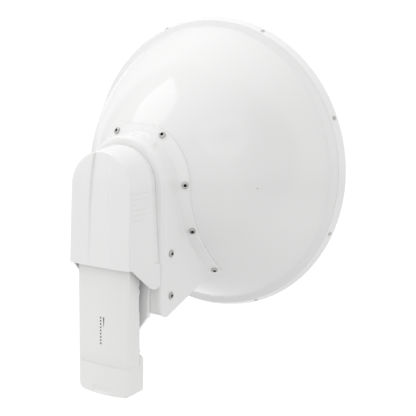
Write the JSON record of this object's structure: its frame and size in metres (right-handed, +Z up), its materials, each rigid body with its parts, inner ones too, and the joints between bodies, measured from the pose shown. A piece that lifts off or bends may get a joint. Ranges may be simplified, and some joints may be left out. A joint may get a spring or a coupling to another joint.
{
  "type": "parabolic dish antenna",
  "caption": "Small deep parabolic dish antenna with a domed radome, a screwed-on rear housing for a pole bracket, and a slim radio unit hanging under a round-topped cover.",
  "frame": {"origin": "on the outer face of the housing's right side plate, midway between its two bolts", "axes": "+X out of the right side plate, +Y the way the dish looks, +Z up"},
  "size_m": [0.378, 0.2912, 0.4311],
  "materials": {
    "reflector_paint": "glossy white powder coat",
    "radome_plastic": "smooth moulded, satin",
    "housing_plastic": "smooth moulded, satin",
    "cover_plastic": "smooth moulded, satin",
    "radio_plastic": "fine moulded texture, satin",
    "cast_aluminium": "as cast, pale grey",
    "stainless_screw": "bright stainless steel"
  },
  "bodies": {
    "root": {"reflector_bowl": "reflector_paint", "radome": "radome_plastic", "rear_housing": "housing_plastic", "radio_cover": "cover_plastic", "radio_shell": "radio_plastic", "radio_bottom_cap": "radio_plastic", "radio_heat_sink": "cast_aluminium", "radio_mount_plate": "housing_plastic", "rim_screw_1": "stainless_screw", "rim_screw_2": "stainless_screw", "rim_screw_3": "stainless_screw", "rim_screw_4": "stainless_screw", "rim_screw_5": "stainless_screw", "rim_screw_6": "stainless_screw", "rim_screw_7": "stainless_screw", "rim_screw_8": "stainless_screw", "flange_screw_right_1": "stainless_screw", "flange_screw_right_2": "stainless_screw", "flange_screw_right_3": "stainless_screw", "flange_screw_right_4": "stainless_screw", "flange_screw_left_1": "stainless_screw", "flange_screw_left_2": "stainless_screw", "flange_screw_left_3": "stainless_screw", "flange_screw_left_4": "stainless_screw", "side_bolt_right_upper": "stainless_screw", "side_bolt_right_lower": "stainless_screw", "side_bolt_left_upper": "stainless_screw", "side_bolt_left_lower": "stainless_screw"}
  },
  "joints": []
}
